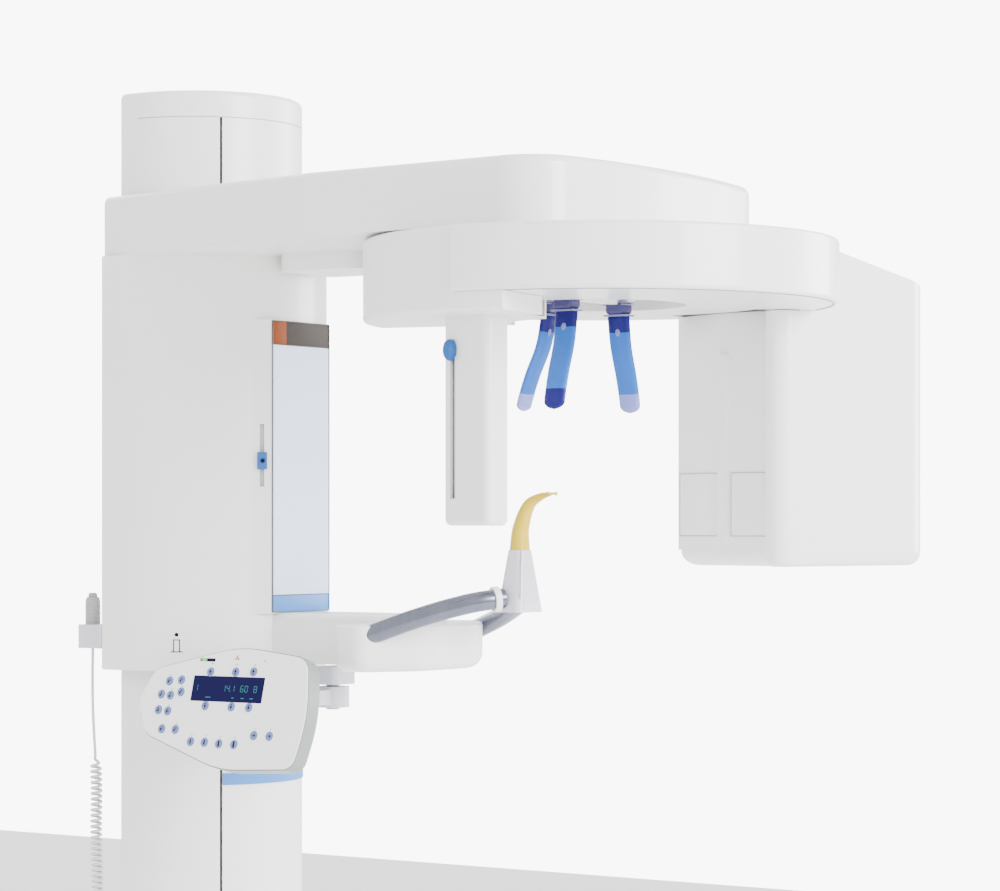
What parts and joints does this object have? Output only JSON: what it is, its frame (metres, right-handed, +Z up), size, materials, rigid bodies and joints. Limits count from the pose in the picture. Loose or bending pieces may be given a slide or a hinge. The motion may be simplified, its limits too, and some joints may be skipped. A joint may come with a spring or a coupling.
{
  "type": "panoramic dental x-ray machine",
  "caption": "Column-mounted panoramic dental x-ray unit: lifting carriage, rotating sensor and tube arm, head supports, bite post, handles, control panel and hand switch on a curly cord.",
  "frame": {"origin": "on the floor, on the axis of the column's round front", "axes": "+Z up, +Y towards the wall, -Y towards the patient, -X towards the control panel"},
  "size_m": [0.8245, 1.073, 2.25],
  "materials": {
    "column_paint": "satin",
    "plate_paint": "satin",
    "band_blue": "gloss",
    "bright_steel": "ground",
    "bare_aluminium": "matte",
    "housing_white": "semi gloss",
    "mirror_glass": "polished",
    "handle_chrome": "polished",
    "holder_grey": "semi gloss",
    "bite_yellow": "gloss",
    "support_blue": "satin",
    "knob_blue": "gloss",
    "panel_plastic": "gloss",
    "display_navy": "gloss",
    "switch_grey": "satin",
    "cord_rubber": "matte",
    "lead_alloy": "matte",
    "tube_glass": "polished"
  },
  "bodies": {
    "stand": {"column_profile": "column_paint", "column_front_cover": "column_paint", "column_band": "band_blue", "base_plate": "plate_paint", "column_cap": "column_paint", "wall_bracket": "plate_paint", "guide_rails": "bright_steel", "screw_bearings": "bare_aluminium", "lift_motor": "plate_paint", "power_supply": "plate_paint"},
    "screw": {"lift_screw": "bright_steel"},
    "carriage": {"trolley": "bright_steel", "carriage_frame": "bare_aluminium", "carriage_cover": "housing_white", "mirror_frame": "housing_white", "mirror_pane": "mirror_glass", "mirror_bands": "band_blue", "lower_carrier": "housing_white", "lower_arm": "housing_white", "handle_collars": "housing_white", "patient_handles": "handle_chrome", "bite_holder": "holder_grey", "upper_arm_cover": "housing_white", "upper_arm_plate": "bare_aluminium", "upper_arm_frame": "bare_aluminium", "slew_bearing": "bright_steel", "support_column": "housing_white", "rotor_motor": "bare_aluminium", "drive_belt": "cord_rubber", "panel_stem": "holder_grey", "switch_holder": "holder_grey", "hand_switch": "switch_grey", "switch_lead": "cord_rubber", "switch_coil": "cord_rubber", "switch_tail": "cord_rubber"},
    "layer_light": {"light_slider": "knob_blue"},
    "rotor": {"rotor_hub": "bright_steel", "rotor_frame": "bare_aluminium", "ring_cover_front": "housing_white", "ring_cover_rear": "housing_white", "sensor_block": "housing_white", "sensor_housing": "housing_white", "image_sensor": "lead_alloy", "collimator_housing": "housing_white", "tube_housing": "housing_white", "tube_tank": "bare_aluminium", "xray_tube": "tube_glass"},
    "motor_wheel": {"motor_pulley": "bare_aluminium"},
    "aperture": {"aperture_plate": "lead_alloy"},
    "sensor_slider": {"sensor_knob": "knob_blue"},
    "temple_near": {"temple_support_near": "support_blue"},
    "temple_far": {"temple_support_far": "support_blue"},
    "forehead": {"forehead_support": "support_blue"},
    "panel_carrier": {"panel_arm": "holder_grey"},
    "panel": {"panel_case": "panel_plastic", "panel_face": "panel_plastic", "panel_display": "display_navy"},
    "bite": {"bite_piece": "bite_yellow"},
    "button": {"switch_button": "switch_grey"}
  },
  "joints": [
    {"name": "carriage_lift", "type": "slide", "parent": "stand", "child": "carriage", "axis": [0, 0, 1], "range_m": [-0.75, 0.08]},
    {"name": "screw_spin", "type": "hinge", "parent": "stand", "child": "screw", "pos_m": [0, -0.055, 1.4], "axis": [0, 0, 1], "range_deg": [-5500, 600]},
    {"name": "light_slide", "type": "slide", "parent": "carriage", "child": "layer_light", "axis": [0, 0, 1], "range_m": [-0.022, 0.037]},
    {"name": "rotor_turn", "type": "hinge", "parent": "carriage", "child": "rotor", "pos_m": [0, -0.65, 2], "axis": [0, 0, 1], "range_deg": [-190, 10]},
    {"name": "motor_wheel_spin", "type": "hinge", "parent": "carriage", "child": "motor_wheel", "pos_m": [0, -0.235, 2.06], "axis": [0, 0, 1], "range_deg": [-1000, 60]},
    {"name": "aperture_shift", "type": "slide", "parent": "rotor", "child": "aperture", "axis": [0.2588, 0.9659, 0], "range_m": [-0.012, 0.012]},
    {"name": "sensor_knob_slide", "type": "slide", "parent": "rotor", "child": "sensor_slider", "axis": [0, 0, -1], "range_m": [0, 0.165]},
    {"name": "temple_near_slide", "type": "slide", "parent": "carriage", "child": "temple_near", "axis": [1, 0, 0], "range_m": [-0.015, 0.035]},
    {"name": "temple_far_slide", "type": "slide", "parent": "carriage", "child": "temple_far", "axis": [1, 0, 0], "range_m": [-0.035, 0.015]},
    {"name": "forehead_slide", "type": "slide", "parent": "carriage", "child": "forehead", "axis": [0, 1, 0], "range_m": [-0.012, 0.004]},
    {"name": "panel_swivel", "type": "hinge", "parent": "carriage", "child": "panel_carrier", "pos_m": [0, -0.227, 1.433], "axis": [0, 0, 1], "range_deg": [-8, 8]},
    {"name": "panel_tilt", "type": "hinge", "parent": "panel_carrier", "child": "panel", "pos_m": [-0.152, -0.227, 1.433], "axis": [0, 1, 0], "range_deg": [-15, 4]},
    {"name": "bite_lift", "type": "slide", "parent": "carriage", "child": "bite", "axis": [0, 0, 1], "range_m": [0, 0.05]},
    {"name": "switch_press", "type": "slide", "parent": "carriage", "child": "button", "axis": [0, 0, -1], "range_m": [0, 0.003], "stiffness_N_per_m": 800, "springref_m": -0.002}
  ],
  "couplings": [
    {"joint": "screw_spin", "follows": "carriage_lift", "rad_per_m": 125.66},
    {"joint": "motor_wheel_spin", "follows": "rotor_turn", "ratio": 5.2},
    {"joint": "temple_far_slide", "follows": "temple_near_slide", "ratio": -1}
  ]
}
